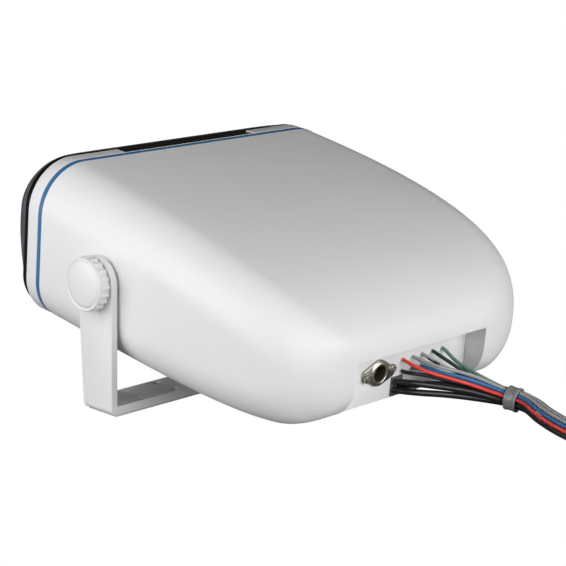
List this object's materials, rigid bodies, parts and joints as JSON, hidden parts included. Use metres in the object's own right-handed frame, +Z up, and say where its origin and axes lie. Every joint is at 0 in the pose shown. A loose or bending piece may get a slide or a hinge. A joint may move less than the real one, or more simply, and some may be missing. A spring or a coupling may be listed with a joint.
{
  "type": "alarm siren",
  "caption": "Electronic alarm siren in a rounded white housing, tilting on a trunnion bracket with two clamp knobs; ribbed grille in front, lead bundle and coaxial socket behind.",
  "frame": {"origin": "bottom centre of the pad under the bracket, midway between the arms and under the tilt axis", "axes": "+Z up from the base; +X along the tilt axis; the grille faces -Y and the leads leave towards +Y"},
  "size_m": [0.2494, 0.4049, 0.1275],
  "materials": {
    "white_metal": "satin white paint",
    "white_shell": "satin white moulding",
    "knob": "satin white moulding",
    "pad": "matte light grey",
    "zinc": "satin zinc plating",
    "light_nylon": "matte",
    "band": "satin blue",
    "dark_rubber": "matte dark grey",
    "black_gloss": "glossy black",
    "grille": "satin black",
    "brass": "plain brass",
    "horn": "matte black",
    "resin_film": "phenolic resin film",
    "copper": "enamelled copper wire",
    "steel": "plain steel",
    "ferrite": "sintered ferrite",
    "board": "green laminate",
    "aluminium_sink": "extruded",
    "black_matte": "matte black",
    "sleeve_blue": "blue sleeve",
    "terminal": "green moulding",
    "nickel": "bright nickel plating",
    "olive": "dark olive insulator",
    "seal_white": "matte off-white",
    "pvc_red": "satin insulation",
    "pvc_grey": "satin insulation",
    "pvc_grey_black": "satin grey insulation with a black line along it",
    "pvc_dark_green": "satin insulation",
    "pvc_green": "satin insulation",
    "pvc_black": "satin insulation",
    "pvc_blue": "satin insulation",
    "pvc_light_blue": "satin insulation"
  },
  "bodies": {
    "stand": {"mounting_bracket": "white_metal", "base_pad": "pad"},
    "head": {"washer_left": "light_nylon", "washer_right": "light_nylon", "rear_housing": "white_shell", "trim_band": "band", "front_frame": "white_shell", "seal_ring": "dark_rubber", "front_rim": "black_gloss", "front_grille": "grille", "clip_strip": "black_gloss", "friction_discs": "dark_rubber", "pivot_inserts": "brass", "horn_flare": "horn", "horn_screws": "zinc", "phase_plug": "horn", "diaphragm": "resin_film", "voice_coil": "copper", "top_plate": "steel", "magnet": "ferrite", "yoke": "steel", "driver_cover": "horn", "driver_screws": "zinc", "amplifier_board": "board", "board_screws": "zinc", "transformer_core": "steel", "transformer_coil": "copper", "heat_sink": "aluminium_sink", "power_transistors": "black_matte", "capacitors": "sleeve_blue", "tone_chip": "black_matte", "terminal_block": "terminal", "rear_panel": "white_shell", "panel_screws": "zinc", "socket_body": "nickel", "socket_insulator": "olive", "socket_contact": "brass", "socket_screws": "nickel", "lead_seals": "seal_white", "cable_gland": "dark_rubber", "lead_red": "pvc_red", "lead_grey": "pvc_grey", "lead_grey_black": "pvc_grey_black", "lead_dark_green": "pvc_dark_green", "lead_green": "pvc_green", "lead_black": "pvc_black", "lead_blue": "pvc_blue", "lead_light_blue": "pvc_light_blue", "supply_cable_1": "pvc_black", "supply_cable_2": "pvc_black", "supply_cable_3": "pvc_black", "lead_ring": "dark_rubber"},
    "left_knob": {"knob_left": "knob", "knob_stud_left": "zinc"},
    "right_knob": {"knob_right": "knob", "knob_stud_right": "zinc"}
  },
  "joints": [
    {"name": "head_tilt", "type": "hinge", "parent": "stand", "child": "head", "pos_m": [0, 0, 0.0717], "axis": [1, 0, 0], "range_deg": [-4.5, 40]},
    {"name": "left_knob_turn", "type": "hinge", "parent": "stand", "child": "left_knob", "pos_m": [0.1205, 0, 0.0717], "axis": [1, 0, 0], "range_deg": [0, 720]},
    {"name": "right_knob_turn", "type": "hinge", "parent": "stand", "child": "right_knob", "pos_m": [-0.1205, 0, 0.0717], "axis": [-1, 0, 0], "range_deg": [0, 720]}
  ]
}
